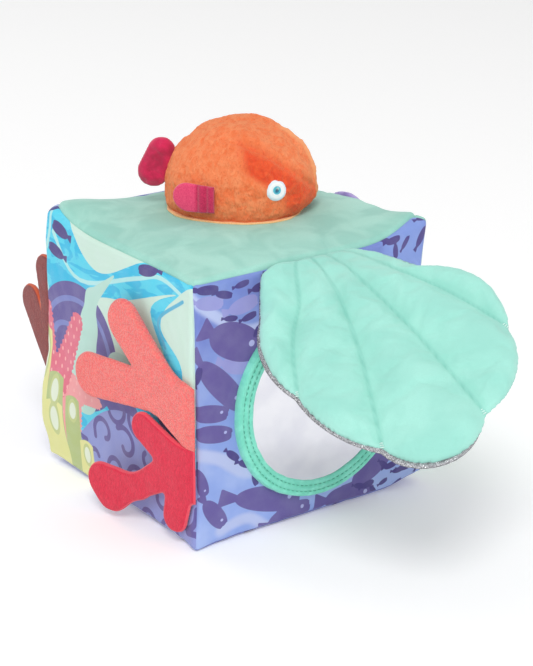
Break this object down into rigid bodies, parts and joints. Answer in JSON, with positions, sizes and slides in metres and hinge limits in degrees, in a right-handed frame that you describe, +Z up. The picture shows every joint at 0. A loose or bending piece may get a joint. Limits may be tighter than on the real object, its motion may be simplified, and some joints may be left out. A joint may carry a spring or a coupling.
{
  "type": "baby activity cube",
  "caption": "Soft stuffed activity cube with an under-sea theme: press-down plush fish, round mirror under a quilted shell flap, felt corals, jellyfish and a battery sound module.",
  "frame": {"origin": "centre of the underside of the cube, on the floor plane", "axes": "+Z up; -Y is the face with the mirror and shell flap, -X is the face with the reef print, +Y is the face with the access flap, +X is the face with the jellyfish"},
  "size_m": [0.1812, 0.3338, 0.209],
  "materials": {
    "core_foam": "open-cell polyurethane foam",
    "shoal_print": "printed woven polyester, fish shoal",
    "reef_print": "printed woven polyester, reef scene",
    "deep_sea_print": "printed woven polyester, dark indigo",
    "mint_velour": "short-pile knitted velour, mint",
    "shell_velour": "short-pile knitted velour, light mint",
    "glitter_fabric": "glitter-coated cloth, silver",
    "stuffing": "hollow-fibre polyester stuffing",
    "backing_board": "stiff sheet behind the mirror",
    "mirror_film": "flexible baby-safe mirror film",
    "mint_binding": "stitched knit binding, mint",
    "salmon_terry": "loop terry, salmon pink",
    "red_felt": "felt, red",
    "brown_felt": "felt, brown red",
    "orange_plush": "short plush, orange",
    "cream_cotton": "cotton, cream",
    "eye_embroidery": "satin-stitch embroidery, white with a cyan pupil",
    "fin_felt": "felt, pink",
    "tail_plush": "velour, magenta",
    "case_plastic": "moulded, fine spark texture",
    "grey_plastic": "moulded, satin",
    "screw_steel": "zinc plated",
    "cell_steel": "nickel plated",
    "contact_brass": "sprung strip",
    "board_laminate": "green solder mask",
    "chip_resin": "black resin",
    "speaker_steel": "pressed frame, dark grey",
    "wire_insulation": "red insulation",
    "lilac_plush": "short plush, lilac",
    "satin_ribbon": "woven satin ribbon",
    "hook_tape": "hook side of touch tape",
    "loop_tape": "loop side of touch tape"
  },
  "bodies": {
    "cube": {"access_flap_hem": "deep_sea_print", "back_panel": "deep_sea_print", "battery_contacts": "contact_brass", "battery_door": "case_plastic", "battery_door_screw": "screw_steel", "bottom_panel": "deep_sea_print", "button_cells": "cell_steel", "button_spring": "screw_steel", "case_screws": "screw_steel", "circuit_board": "board_laminate", "coral_seam_margins": "red_felt", "fish_base_patch": "cream_cotton", "foam_core": "core_foam", "front_panel": "shoal_print", "hook_tape": "hook_tape", "jellyfish_hem": "lilac_plush", "mirror_backing": "backing_board", "mirror_bezel": "mint_binding", "mirror_sheet": "mirror_film", "press_switch": "chip_resin", "reef_panel": "reef_print", "right_panel": "mint_velour", "shell_hem": "shell_velour", "shell_neck": "shell_velour", "sound_case_lower": "case_plastic", "sound_case_upper": "case_plastic", "sound_chip": "chip_resin", "speaker": "speaker_steel", "speaker_leads": "wire_insulation", "top_panel": "mint_velour"},
    "shell": {"shell_cover": "shell_velour", "shell_lining": "glitter_fabric", "shell_padding": "stuffing"},
    "coral_salmon": {"coral_salmon": "salmon_terry"},
    "coral_red": {"coral_red": "red_felt"},
    "coral_brown": {"coral_brown": "brown_felt"},
    "fish": {"fish_skin": "orange_plush", "fish_stuffing": "stuffing", "fish_plunger": "grey_plastic", "fish_eye_left": "eye_embroidery", "fish_eye_right": "eye_embroidery"},
    "fin_left": {"fish_fin_left": "fin_felt"},
    "fin_right": {"fish_fin_right": "fin_felt"},
    "tail": {"fish_tail": "tail_plush"},
    "button": {"sound_button": "grey_plastic"},
    "jellyfish": {"jellyfish_bell": "lilac_plush"},
    "ribbons": {"jellyfish_ribbons": "satin_ribbon"},
    "access": {"access_flap": "deep_sea_print", "loop_tape": "loop_tape"}
  },
  "joints": [
    {"name": "shell_flap", "type": "hinge", "parent": "cube", "child": "shell", "pos_m": [0, -0.084, 0.156], "axis": [-0.9171, 0, -0.3987], "range_deg": [-72, 100], "deforming": ["shell_neck"]},
    {"name": "coral_salmon_swing", "type": "hinge", "parent": "cube", "child": "coral_salmon", "pos_m": [-0.077, -0.075, 0.077], "axis": [0, 0, 1], "range_deg": [-5, 140]},
    {"name": "coral_red_swing", "type": "hinge", "parent": "cube", "child": "coral_red", "pos_m": [-0.077, -0.075, 0.041], "axis": [0, 0, 1], "range_deg": [-8, 140]},
    {"name": "coral_brown_swing", "type": "hinge", "parent": "cube", "child": "coral_brown", "pos_m": [-0.075, 0.0775, 0.053], "axis": [0, 0, 1], "range_deg": [-88, 81]},
    {"name": "fish_press", "type": "slide", "parent": "cube", "child": "fish", "axis": [0, 0, -1], "range_m": [0, 0.0025], "stiffness_N_per_m": 1200, "deforming": ["button_spring"]},
    {"name": "button_press", "type": "slide", "parent": "cube", "child": "button", "axis": [0, 0, -1], "range_m": [0, 0.0025]},
    {"name": "fin_left_flap", "type": "hinge", "parent": "fish", "child": "fin_left", "pos_m": [0.02272, 0.03894, 0.17], "axis": [0, 0, -1], "range_deg": [0, 70]},
    {"name": "fin_right_flap", "type": "hinge", "parent": "fish", "child": "fin_right", "pos_m": [-0.02411, -0.01308, 0.17], "axis": [0, 0, 1], "range_deg": [0, 70]},
    {"name": "tail_sway", "type": "hinge", "parent": "fish", "child": "tail", "pos_m": [-0.02733, 0.03691, 0.182], "axis": [0, 0, 1], "range_deg": [-25, 25]},
    {"name": "jellyfish_tilt", "type": "hinge", "parent": "cube", "child": "jellyfish", "pos_m": [0.0765, -0.001, 0.121], "axis": [0, 1, 0], "range_deg": [0, 45]},
    {"name": "ribbons_swing", "type": "hinge", "parent": "cube", "child": "ribbons", "pos_m": [0.0775, -0.001, 0.119], "axis": [0, -1, 0], "range_deg": [0, 40]},
    {"name": "access_flap_lift", "type": "hinge", "parent": "cube", "child": "access", "pos_m": [0.007, 0.0785, 0.149], "axis": [1, 0, 0], "range_deg": [0, 100]}
  ],
  "couplings": [
    {"joint": "button_press", "follows": "fish_press", "ratio": 1}
  ]
}
